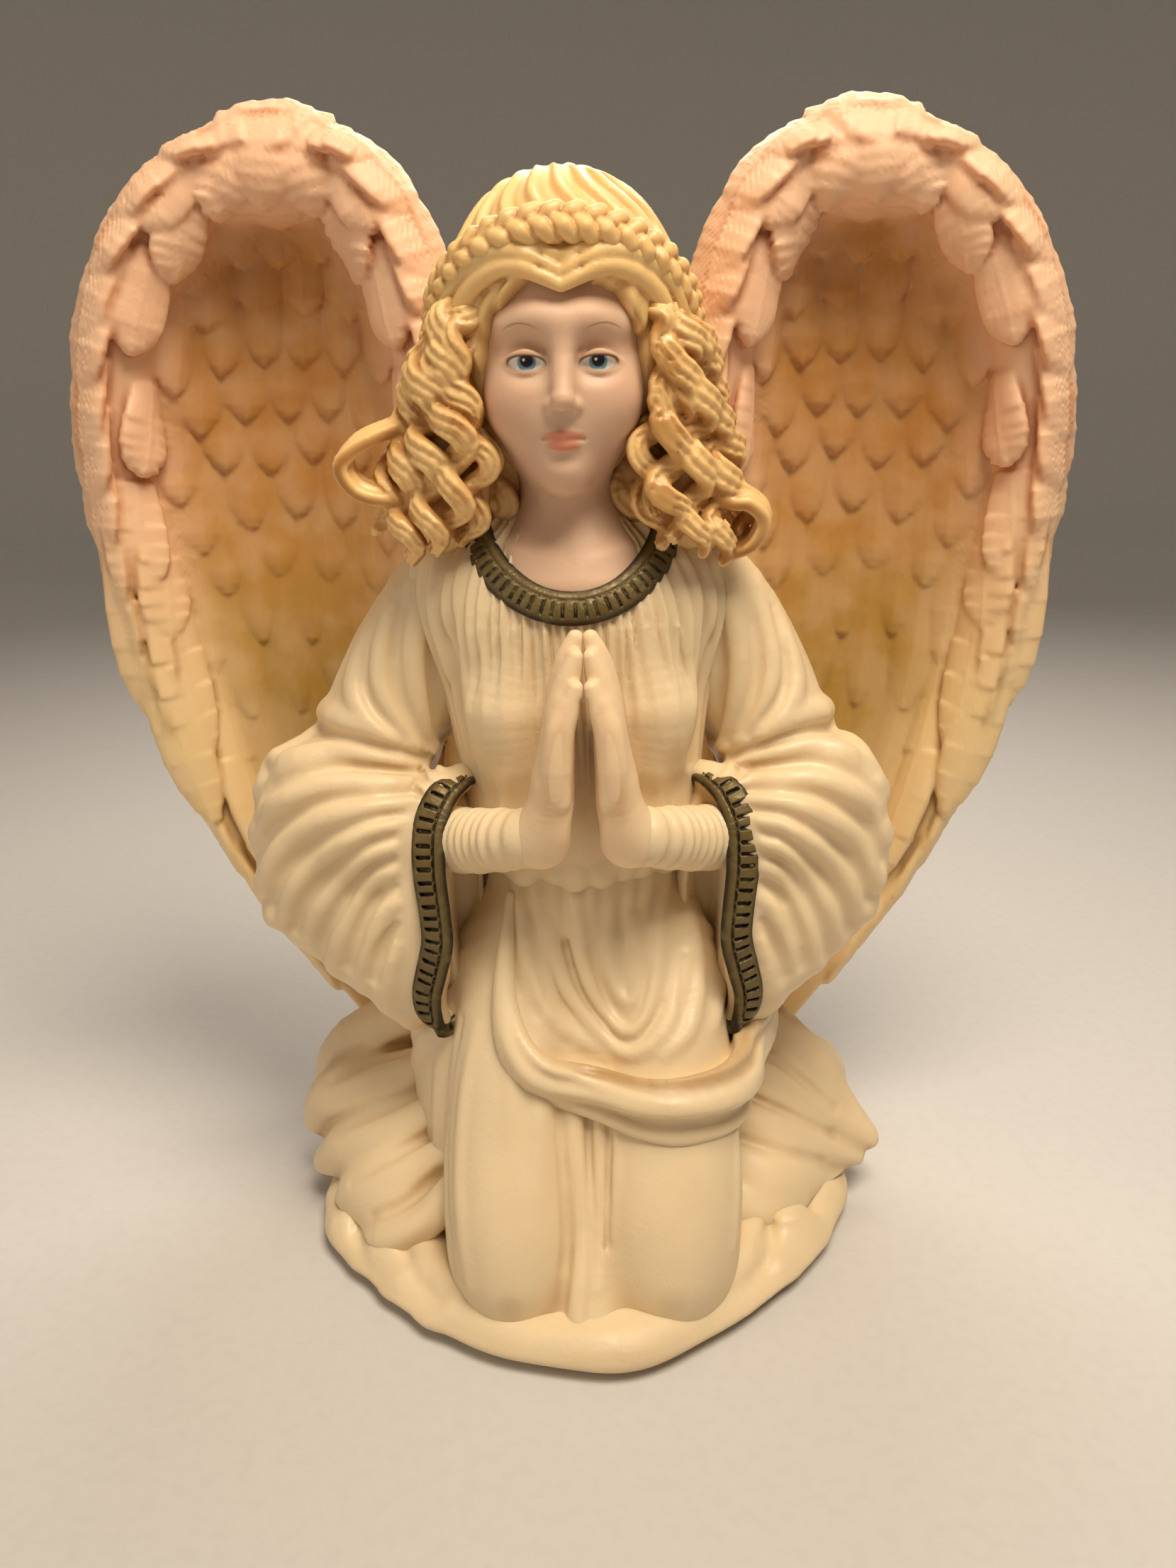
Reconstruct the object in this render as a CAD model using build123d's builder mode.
from build123d import *

import math
import os

# Kneeling resin angel figurine with praying hands and raised wings. Millimetres.
#
# The figure faces -Y and +Z is up. The origin is on the ground, under the middle of the
# bounding box. Left and right are the figure's own, so its left side is +X.
# Every casting, trim band and pin is a solid of its own. Castings meet in tenons and
# sockets: the larger piece is cut by the smaller ones, so that their faces touch.

# Overall size
HEIGHT = 230.0
WING_REACH = 102.0
BASE_DEPTH = 116.0
BASE_WIDTH = 120.0

# Foot
FELT_THICKNESS = 1.2
FELT_INSET = 5.0
BASE_TOP = 9.0
BASE_ROUND = 2.5

# Joints between castings
WAIST_Z = 82.0
NECK_JOINT_Z = 132.0

# Head and hair
HEAD_X = -1.5
HEAD_CENTRE = (HEAD_X, -1.5, 182.0)
HEAD_RADII = (16.0, 19.5, 24.0)
HAIR_CENTRE = (HEAD_X, 3.0, 188.5)
HAIR_RADII = (22.5, 24.5, 25.5)
FACE_OPENING = ((HEAD_X, -34.0, 176.0), (18.0, 30.0, 24.0))
BRAID_RADIUS = 2.4
CURL_RADIUS = 3.0
RINGLET_HALF_WAVE = 8.0
RINGLET_SWAY = 1.7
RINGLET_ROOT = (5.0, 11.0, 4.5)

# Robe
CLEFT_HALF_WIDTH = 7.0
SWAG_RADIUS = 5.8

# Sleeve mouths, as tall ovals that face inwards and forwards
MOUTH_CENTRE = (29.0, -15.0, 77.0)
MOUTH_FACING = (-0.75, -0.66, 0.0)
MOUTH_HALF_HEIGHT = 26.0
MOUTH_HALF_WIDTH = 9.0
SLEEVE_WALL = 2.6
TRIM_WIDTH = 5.5
TRIM_PROUD = 0.7

# Collar band, on a plane that dips at the front
COLLAR_CENTRE = (-0.5, 2.0, 146.0)
COLLAR_TILT = 22.0
COLLAR_RADII = (21.5, 18.0)
COLLAR_THICKNESS = 1.8
COLLAR_WIDTH = 5.5

# Praying hands
PALM_Y = -27.5
WRIST_Z = 96.0
FINGERTIP_Z = 134.0
FOREARM_RADIUS = 7.0

# Steel pins through the glued joints
PIN_RADIUS = 1.5
WING_PIN_LENGTH = 18.0
WING_PIN_HEIGHTS = (124.0, 138.0)
NECK_PIN_LENGTH = 20.0


def closed_ring(rx, ry, points=12):
    """A smooth closed oval, with the same start and direction whichever radius is larger."""
    steps = [2 * math.pi * i / points for i in range(points)]
    Spline(*[(rx * math.cos(a), ry * math.sin(a)) for a in steps], periodic=True)


def oval_loft(stations):
    """A solid through level ovals. A station is (z, centre x, centre y, x radius, y radius)."""
    with BuildPart() as body:
        for z, x, y, rx, ry in stations:
            with BuildSketch(Plane((x, y, z))):
                with BuildLine():
                    closed_ring(rx, ry)
                make_face()
        loft()
    return body.part


def limb_loft(stations):
    """A solid through ovals set square to a limb, such as an arm or a finger.

    A station is (centre, direction, upward radius, sideways radius).
    """
    with BuildPart() as body:
        for centre, direction, upward, sideways in stations:
            with BuildSketch(Plane(centre, x_dir=(0, 0, 1), z_dir=direction)):
                with BuildLine():
                    closed_ring(upward, sideways)
                make_face()
        loft()
    return body.part


def ellipsoid(centre, radii):
    """A ball stretched along the axes."""
    with BuildPart() as ball:
        Sphere(1)
        scale(by=radii, mode=Mode.REPLACE)
    return ball.part.moved(Location(centre))


def strand(points, radius):
    """A round strand along a smooth curve."""
    with BuildPart() as rope:
        with BuildLine() as path:
            Spline(*points)
        with BuildSketch(Plane(path.line @ 0, z_dir=path.line % 0)):
            Circle(radius)
        sweep()
    return rope.part


def merged(*shapes):
    """Several overlapping shapes as one."""
    with BuildPart() as whole:
        for shape in shapes:
            add(shape)
    return whole.part


def write(piece, node):
    """Labels a finished piece and writes its STEP file."""
    piece.part.label = node
    export_step(piece.part, f"parts/{node}.step")


os.makedirs("parts", exist_ok=True)


# Base and felt ---------------------------------------------------------------------------

def base_outline(inset):
    """The wavy edge of the base, as drapery spilled over a round plinth."""
    half_width = BASE_WIDTH / 2 - inset
    half_depth = BASE_DEPTH / 2 - inset
    points = 28
    outline = []
    for i in range(points):
        angle = 2 * math.pi * i / points
        lobe = 1 - 0.012 * (1 - math.cos(4 * angle)) - 0.006 * (1 - math.cos(6 * (angle + math.pi / 2)))
        outline.append((half_width * lobe * math.cos(angle), half_depth * lobe * math.sin(angle)))
    Spline(*outline, periodic=True)


with BuildPart() as felt_pad:
    with BuildSketch():
        with BuildLine():
            base_outline(FELT_INSET)
        make_face()
    extrude(amount=FELT_THICKNESS)

with BuildPart() as base:
    with BuildSketch(Plane.XY.offset(FELT_THICKNESS)):
        with BuildLine():
            base_outline(0)
        make_face()
    extrude(amount=BASE_TOP - FELT_THICKNESS)
    fillet(base.faces().sort_by(Axis.Z)[-1].edges(), BASE_ROUND)


# Hip drape: a swag from the right hip, down across the lap and up to the left hip --------

SWAG_POINTS = [
    (-26.0, -7.0, 75.0),
    (-19.0, -19.0, 67.0),
    (-8.0, -29.0, 52.0),
    (8.0, -33.0, 42.5),
    (24.0, -30.0, 40.5),
    (36.0, -17.0, 46.0),
    (39.0, -2.0, 56.0),
]
swag = strand(SWAG_POINTS, SWAG_RADIUS)


# Wings -----------------------------------------------------------------------------------

def wing_section(x_inner, x_outer, y_rim, hollow, thickness):
    """One level slice of a wing: a crescent, hollow at the front."""
    x_middle = (x_inner + x_outer) / 2
    y_back = y_rim + thickness
    ThreePointArc((x_inner, y_rim), (x_middle, y_rim + hollow), (x_outer, y_rim))
    ThreePointArc((x_outer, y_rim), (x_outer + 0.4 * thickness, y_rim + thickness / 2), (x_outer, y_back))
    ThreePointArc((x_outer, y_back), (x_middle, y_back + hollow), (x_inner, y_back))
    ThreePointArc((x_inner, y_back), (x_inner - 0.4 * thickness, y_rim + thickness / 2), (x_inner, y_rim))


# Height, inner edge, outer edge, rim depth, hollow, thickness
WING_SLICES = [
    (20.0, 41.0, 46.0, 31.0, 0.8, 3.0),
    (45.0, 37.0, 63.0, 29.0, 4.0, 4.0),
    (75.0, 32.0, 81.0, 27.0, 8.0, 4.5),
    (115.0, 26.0, 95.5, 25.0, 13.0, 5.0),
    (160.0, 25.0, WING_REACH - 2.0, 23.0, 16.0, 5.0),
    (190.0, 27.0, 97.0, 22.0, 14.0, 5.0),
    (212.0, 34.0, 85.5, 22.0, 9.5, 5.0),
    (225.0, 44.0, 72.0, 23.0, 4.0, 4.5),
    (HEIGHT, 52.0, 63.0, 24.0, 1.0, 3.0),
]

with BuildPart() as wing_blade:
    for height, inner, outer, rim, hollow, thick in WING_SLICES:
        with BuildSketch(Plane.XY.offset(height)):
            with BuildLine():
                wing_section(inner, outer, rim, hollow, thick)
            make_face()
    loft()

wing_root = limb_loft(
    [
        ((21.0, 7.0, 131.0), (0.25, 1, 0), 16.0, 7.0),
        ((24.0, 17.0, 131.0), (0.35, 1, 0), 19.0, 8.5),
        ((30.0, 28.0, 132.0), (0.6, 1, 0), 21.0, 9.0),
        ((37.0, 34.5, 133.0), (0.9, 1, 0), 17.0, 5.0),
    ]
)
wing_shape = merged(wing_blade.part, wing_root)

with BuildPart() as wing_pins_left:
    for pin_z in WING_PIN_HEIGHTS:
        with BuildSketch(Plane((21.5, 0.0, pin_z), z_dir=(0, 1, 0))):
            Circle(PIN_RADIUS)
        extrude(amount=WING_PIN_LENGTH)
with BuildPart() as wing_pins_right:
    mirror(wing_pins_left.part, about=Plane.YZ, mode=Mode.ADD)

with BuildPart() as wing_left:
    add(wing_shape)
    add(wing_pins_left.part, mode=Mode.SUBTRACT)
with BuildPart() as wing_right:
    mirror(wing_left.part, about=Plane.YZ)


# Head, neck and hair ---------------------------------------------------------------------

bust = oval_loft(
    [
        (NECK_JOINT_Z, -0.5, -1.0, 15.0, 10.0),
        (140.0, -0.5, -1.0, 18.5, 13.0),
        (147.0, -1.0, 0.0, 16.5, 12.0),
        (153.0, -1.2, 1.0, 10.5, 9.5),
        (160.0, HEAD_X, 1.5, 8.6, 8.8),
        (170.0, HEAD_X, 1.5, 8.4, 8.6),
    ]
)
skull = ellipsoid(HEAD_CENTRE, HEAD_RADII)
nose = ellipsoid((HEAD_X, -20.0, 176.5), (2.2, 3.2, 4.6))
head_shape = merged(bust, skull, nose)

# Ringlets hang beside the face, from the cap to the shoulder: top and bottom of each
RINGLETS_RIGHT = [
    ((-22.0, -4.0, 183.0), (-24.0, -9.0, 149.0)),
    ((-25.0, 4.0, 184.0), (-32.0, -2.0, 149.0)),
    ((-25.0, 12.0, 182.0), (-40.0, 5.0, 157.0)),
]
RINGLETS_LEFT = [
    ((19.0, -4.0, 183.0), (21.5, -8.0, 150.0)),
    ((22.0, 4.0, 184.0), (29.0, -1.0, 150.0)),
    ((22.0, 12.0, 182.0), (33.5, 5.0, 153.0)),
]


def ringlet(top, bottom):
    """A lock that sways from side to side as it falls."""
    half_waves = round(math.dist(top, bottom) / RINGLET_HALF_WAVE)
    points = []
    for i in range(half_waves + 1):
        along = i / half_waves
        x, y, z = (a + (b - a) * along for a, b in zip(top, bottom))
        points.append((x + RINGLET_SWAY * (-1) ** i, y, z))
    return strand(points, CURL_RADIUS)


def ringlets(ends):
    """Locks side by side, joined where they leave the cap."""
    tops = [top for top, bottom in ends]
    middle = tuple(sum(values) / len(tops) for values in zip(*tops))
    return merged(ellipsoid(middle, RINGLET_ROOT), *[ringlet(*pair) for pair in ends])


curls_right_shape = ringlets(RINGLETS_RIGHT)
curls_left_shape = ringlets(RINGLETS_LEFT)

# The plaited band runs over the head from ear to ear
with BuildPart() as hair_braid:
    with BuildLine() as band:
        ThreePointArc((HEAD_X - 22.5, 2.0, 184.0), (HEAD_X, -16.0, 206.5), (HEAD_X + 22.5, 2.0, 184.0))
    with BuildSketch(Plane(band.line @ 0, z_dir=band.line % 0)):
        Circle(BRAID_RADIUS)
    sweep()
    add(head_shape, mode=Mode.SUBTRACT)
    add(curls_left_shape, mode=Mode.SUBTRACT)
    add(curls_right_shape, mode=Mode.SUBTRACT)

with BuildPart() as hair_cap:
    add(ellipsoid(HAIR_CENTRE, HAIR_RADII))
    for cutter in (
        ellipsoid(*FACE_OPENING),
        head_shape,
        hair_braid.part,
        curls_left_shape,
        curls_right_shape,
    ):
        add(cutter, mode=Mode.SUBTRACT)


# Collar ----------------------------------------------------------------------------------

collar_plane = Plane(COLLAR_CENTRE).rotated((COLLAR_TILT, 0, 0))
with BuildPart() as collar_trim:
    with BuildSketch(collar_plane.offset(-COLLAR_WIDTH / 2)):
        Ellipse(*COLLAR_RADII)
        Ellipse(COLLAR_RADII[0] - COLLAR_THICKNESS, COLLAR_RADII[1] - COLLAR_THICKNESS, mode=Mode.SUBTRACT)
    extrude(amount=COLLAR_WIDTH)
    add(wing_left.part, mode=Mode.SUBTRACT)
    add(wing_right.part, mode=Mode.SUBTRACT)


# Praying hands and forearms, on the left side ----------------------------------------------

FINGERS = [
    # y of the finger, height of its tip, radius
    (PALM_Y - 6.3, FINGERTIP_Z - 9.0, 2.0),
    (PALM_Y - 2.2, FINGERTIP_Z - 3.0, 2.3),
    (PALM_Y + 2.2, FINGERTIP_Z, 2.4),
    (PALM_Y + 6.5, FINGERTIP_Z - 4.0, 2.3),
]

palm = limb_loft(
    [
        ((9.5, PALM_Y - 1.0, WRIST_Z - 2.0), (-0.75, -0.1, 0.66), 6.4, 6.6),
        ((7.0, PALM_Y - 0.5, WRIST_Z + 4.0), (-0.4, 0, 0.92), 4.6, 8.0),
        ((5.4, PALM_Y, WRIST_Z + 11.0), (-0.15, 0, 0.99), 3.4, 8.8),
        ((4.0, PALM_Y, WRIST_Z + 19.0), (-0.15, 0, 0.99), 3.0, 8.8),
    ]
)
fingers = [
    limb_loft(
        [
            ((4.4, y, WRIST_Z + 15.0), (-0.1, 0, 1), radius + 0.4, radius + 0.3),
            ((3.0, y, (WRIST_Z + 17.0 + tip) / 2), (-0.1, 0, 1), radius + 0.2, radius + 0.1),
            ((2.1, y, tip - 3.0), (-0.15, 0, 1), radius, radius),
            ((1.5, y, tip), (-0.15, 0, 1), 0.9, 0.9),
        ]
    )
    for y, tip, radius in FINGERS
]
thumb = limb_loft(
    [
        ((5.0, PALM_Y + 7.5, WRIST_Z + 6.0), (-0.2, 0.3, 1), 2.8, 2.8),
        ((3.8, PALM_Y + 9.5, WRIST_Z + 14.0), (-0.2, 0.1, 1), 2.4, 2.4),
        ((2.6, PALM_Y + 9.5, WRIST_Z + 21.0), (-0.1, 0, 1), 1.4, 1.4),
    ]
)
forearm_shape = limb_loft(
    [
        ((37.0, -8.0, 93.0), (-0.82, -0.56, 0.05), FOREARM_RADIUS, FOREARM_RADIUS),
        ((24.0, -18.5, 93.5), (-0.78, -0.6, 0.05), FOREARM_RADIUS, FOREARM_RADIUS),
        ((10.5, -27.6, 94.5), (-0.78, -0.5, 0.2), FOREARM_RADIUS - 0.8, FOREARM_RADIUS - 0.4),
    ]
)

with BuildPart() as hand_left:
    for shape in (palm, *fingers, thumb):
        add(shape)
    split(bisect_by=Plane.YZ, keep=Keep.TOP)
with BuildPart() as hand_right:
    mirror(hand_left.part, about=Plane.YZ)

with BuildPart() as forearm_left:
    add(forearm_shape)
    add(hand_left.part, mode=Mode.SUBTRACT)
with BuildPart() as forearm_right:
    mirror(forearm_left.part, about=Plane.YZ)


# Sleeves and cuffs -------------------------------------------------------------------------

upper_arm = limb_loft(
    [
        ((29.0, 5.0, 141.0), (0.7, 0, -0.7), 11.0, 11.5),
        ((37.0, 6.5, 131.0), (0.5, 0, -0.86), 12.5, 13.0),
        ((47.0, 7.5, 114.0), (0.5, 0, -0.86), 13.5, 14.0),
        ((55.0, 8.0, 98.0), (0.35, 0, -0.93), 14.0, 14.0),
    ]
)
elbow = ellipsoid((56.5, 8.0, 96.0), (15.0, 14.5, 16.0))
bell = limb_loft(
    [
        ((60.0, 10.5, 92.0), (-0.8, -0.6, 0), 13.0, 9.0),
        ((50.0, 3.0, 86.0), (-0.77, -0.63, 0), 20.0, 12.5),
        ((39.0, -7.0, 80.5), (-0.76, -0.65, 0), 24.5, 11.5),
        (MOUTH_CENTRE, MOUTH_FACING, MOUTH_HALF_HEIGHT, MOUTH_HALF_WIDTH),
    ]
)
mouth_plane = Plane(MOUTH_CENTRE, x_dir=(0, 0, 1), z_dir=MOUTH_FACING)

with BuildPart() as mouth_hollow:
    for back, shrink in ((-14.0, 6.0), (-7.0, SLEEVE_WALL + 0.8), (0.5, SLEEVE_WALL)):
        with BuildSketch(mouth_plane.offset(back)):
            with BuildLine():
                closed_ring(MOUTH_HALF_HEIGHT - shrink, MOUTH_HALF_WIDTH - shrink + 0.4)
            make_face()
    loft()

with BuildPart() as cuff_trim_left:
    with BuildSketch(mouth_plane.offset(-TRIM_WIDTH)):
        Ellipse(MOUTH_HALF_HEIGHT + TRIM_PROUD, MOUTH_HALF_WIDTH + 1.6)
        Ellipse(MOUTH_HALF_HEIGHT - 1.2, MOUTH_HALF_WIDTH - 1.2, mode=Mode.SUBTRACT)
    extrude(amount=TRIM_WIDTH + 0.4)
    add(forearm_left.part, mode=Mode.SUBTRACT)
with BuildPart() as cuff_trim_right:
    mirror(cuff_trim_left.part, about=Plane.YZ)

sleeve_solid = merged(upper_arm, elbow, bell)
with BuildPart() as sleeve_left:
    add(sleeve_solid)
    for cutter in (
        mouth_hollow.part,
        forearm_left.part,
        cuff_trim_left.part,
        wing_left.part,
        curls_left_shape,
    ):
        add(cutter, mode=Mode.SUBTRACT)
with BuildPart() as sleeve_right:
    mirror(sleeve_solid, about=Plane.YZ)
    mirror(mouth_hollow.part, about=Plane.YZ, mode=Mode.SUBTRACT)
    for cutter in (forearm_right.part, cuff_trim_right.part, wing_right.part, curls_right_shape):
        add(cutter, mode=Mode.SUBTRACT)


# Torso, with sockets for the neck, arms and wings ------------------------------------------

torso_solid = oval_loft(
    [
        (WAIST_Z, 0.0, 1.0, 23.0, 15.0),
        (90.0, 0.0, 0.5, 26.5, 17.0),
        (105.0, 0.0, 0.5, 27.0, 18.0),
        (120.0, 0.0, 1.0, 28.5, 18.5),
        (134.0, 0.0, 1.5, 33.0, 18.0),
        (144.0, 0.0, 4.0, 32.0, 15.0),
        (153.0, -0.5, 7.0, 21.0, 11.0),
    ]
)
with BuildPart() as neck_pin:
    with BuildSketch(Plane((-0.5, -1.0, NECK_JOINT_Z - NECK_PIN_LENGTH / 2))):
        Circle(PIN_RADIUS)
    extrude(amount=NECK_PIN_LENGTH)

with BuildPart() as head:
    add(head_shape)
    for cutter in (collar_trim.part, neck_pin.part, curls_left_shape, curls_right_shape):
        add(cutter, mode=Mode.SUBTRACT)

with BuildPart() as torso:
    add(torso_solid)
    for cutter in (
        bust,
        collar_trim.part,
        neck_pin.part,
        curls_left_shape,
        curls_right_shape,
        hand_left.part,
        hand_right.part,
        cuff_trim_left.part,
        cuff_trim_right.part,
        wing_left.part,
        wing_right.part,
        wing_pins_left.part,
        wing_pins_right.part,
        swag,
    ):
        add(cutter, mode=Mode.SUBTRACT)
    add(sleeve_solid, mode=Mode.SUBTRACT)
    mirror(sleeve_solid, about=Plane.YZ, mode=Mode.SUBTRACT)


# Skirt over the folded legs, with the swag across the lap -----------------------------------

def robe_outline(centre_y, rx, ry, cleft, points=32):
    """A level slice of the robe: an oval with a cleft between the knees at the front."""
    outline = []
    for i in range(points):
        angle = 2 * math.pi * i / points
        x = rx * math.cos(angle)
        y = centre_y + ry * math.sin(angle)
        if math.sin(angle) < 0:
            y += cleft * math.exp(-((x / CLEFT_HALF_WIDTH) ** 2))
        outline.append((x, y))
    Spline(*outline, periodic=True)


# Height, centre, half width, half depth, depth of the cleft
ROBE_SLICES = [
    (BASE_TOP, -3.0, 37.5, 47.0, 13.0),
    (20.0, -2.0, 38.0, 45.0, 12.0),
    (34.0, -1.0, 37.0, 40.0, 9.0),
    (48.0, 0.0, 35.5, 33.5, 5.0),
    (62.0, 1.0, 31.5, 25.5, 2.0),
    (74.0, 1.0, 26.5, 18.5, 0.5),
    (WAIST_Z, 1.0, 23.0, 15.0, 0.0),
]

with BuildPart() as robe:
    for height, centre_y, rx, ry, cleft in ROBE_SLICES:
        with BuildSketch(Plane.XY.offset(height)):
            with BuildLine():
                robe_outline(centre_y, rx, ry, cleft)
            make_face()
    loft()

SLEEVE_PARTS = (sleeve_left.part, sleeve_right.part, cuff_trim_left.part, cuff_trim_right.part)

with BuildPart() as skirt:
    add(robe.part)
    for cutter in (swag, *SLEEVE_PARTS):
        add(cutter, mode=Mode.SUBTRACT)

with BuildPart() as trimmed_swag:
    add(swag)
    for cutter in SLEEVE_PARTS:
        add(cutter, mode=Mode.SUBTRACT)
with BuildPart() as hip_drape:
    add(trimmed_swag.solids().sort_by(SortBy.VOLUME)[-1])


# Train: gathered cloth that spills beside the skirt and rests on the base -------------------

with BuildPart() as above_base:
    with Locations((0, 0, BASE_TOP)):
        Box(300, 300, 100, align=(Align.CENTER, Align.CENTER, Align.MIN))


def train_fold(start, end, radii_start, radii_end):
    """One rounded fold of cloth that runs out from under the skirt."""
    direction = tuple(b - a for a, b in zip(start, end))
    middle = tuple((a + b) / 2 for a, b in zip(start, end))
    up_middle = 1.1 * max(radii_start[0], radii_end[0])
    side_middle = 1.1 * max(radii_start[1], radii_end[1])
    return limb_loft(
        [
            (start, direction, *radii_start),
            (middle, direction, up_middle, side_middle),
            (end, direction, *radii_end),
        ]
    )


TRAIN_FOLDS_RIGHT = [
    ((-28.0, -16.0, 11.0), (-60.0, -9.0, 9.5), (11.0, 9.0), (5.0, 5.0)),
    ((-26.0, 0.0, 14.0), (-66.0, 11.0, 9.5), (16.0, 10.0), (6.0, 6.0)),
    ((-26.0, 16.0, 16.0), (-62.0, 29.0, 10.0), (17.0, 10.0), (6.0, 7.0)),
    ((-20.0, 28.0, 14.0), (-46.0, 44.0, 10.0), (14.0, 10.0), (6.0, 7.0)),
]
TRAIN_FOLDS_LEFT = [
    ((28.0, -22.0, 10.0), (57.0, -17.0, 9.5), (9.0, 8.0), (4.0, 4.5)),
    ((26.0, -6.0, 13.0), (63.0, 3.0, 9.5), (14.0, 10.0), (5.0, 6.0)),
    ((26.0, 14.0, 15.0), (60.0, 26.0, 10.0), (16.0, 10.0), (6.0, 7.0)),
    ((20.0, 28.0, 14.0), (46.0, 44.0, 10.0), (14.0, 10.0), (6.0, 7.0)),
]


def train(folds, wing):
    """The folds as one casting, flat underneath, cut to sit against the skirt and the wing."""
    with BuildPart() as pool:
        for fold in folds:
            add(train_fold(*fold))
        add(above_base.part, mode=Mode.INTERSECT)
        add(robe.part, mode=Mode.SUBTRACT)
        add(wing, mode=Mode.SUBTRACT)
    return pool.part


with BuildPart() as train_right:
    add(train(TRAIN_FOLDS_RIGHT, wing_right.part))
with BuildPart() as train_left:
    add(train(TRAIN_FOLDS_LEFT, wing_left.part))

with BuildPart() as curls_left:
    add(curls_left_shape)
with BuildPart() as curls_right:
    add(curls_right_shape)


for finished, node_name in (
    (felt_pad, "felt_pad"),
    (base, "base"),
    (skirt, "skirt"),
    (hip_drape, "hip_drape"),
    (train_left, "train_left"),
    (train_right, "train_right"),
    (torso, "torso"),
    (collar_trim, "collar_trim"),
    (head, "head"),
    (neck_pin, "neck_pin"),
    (hair_cap, "hair_cap"),
    (hair_braid, "hair_braid"),
    (curls_left, "curls_left"),
    (curls_right, "curls_right"),
    (sleeve_left, "sleeve_left"),
    (sleeve_right, "sleeve_right"),
    (cuff_trim_left, "cuff_trim_left"),
    (cuff_trim_right, "cuff_trim_right"),
    (forearm_left, "forearm_left"),
    (forearm_right, "forearm_right"),
    (hand_left, "hand_left"),
    (hand_right, "hand_right"),
    (wing_left, "wing_left"),
    (wing_right, "wing_right"),
    (wing_pins_left, "wing_pins_left"),
    (wing_pins_right, "wing_pins_right"),
):
    write(finished, node_name)
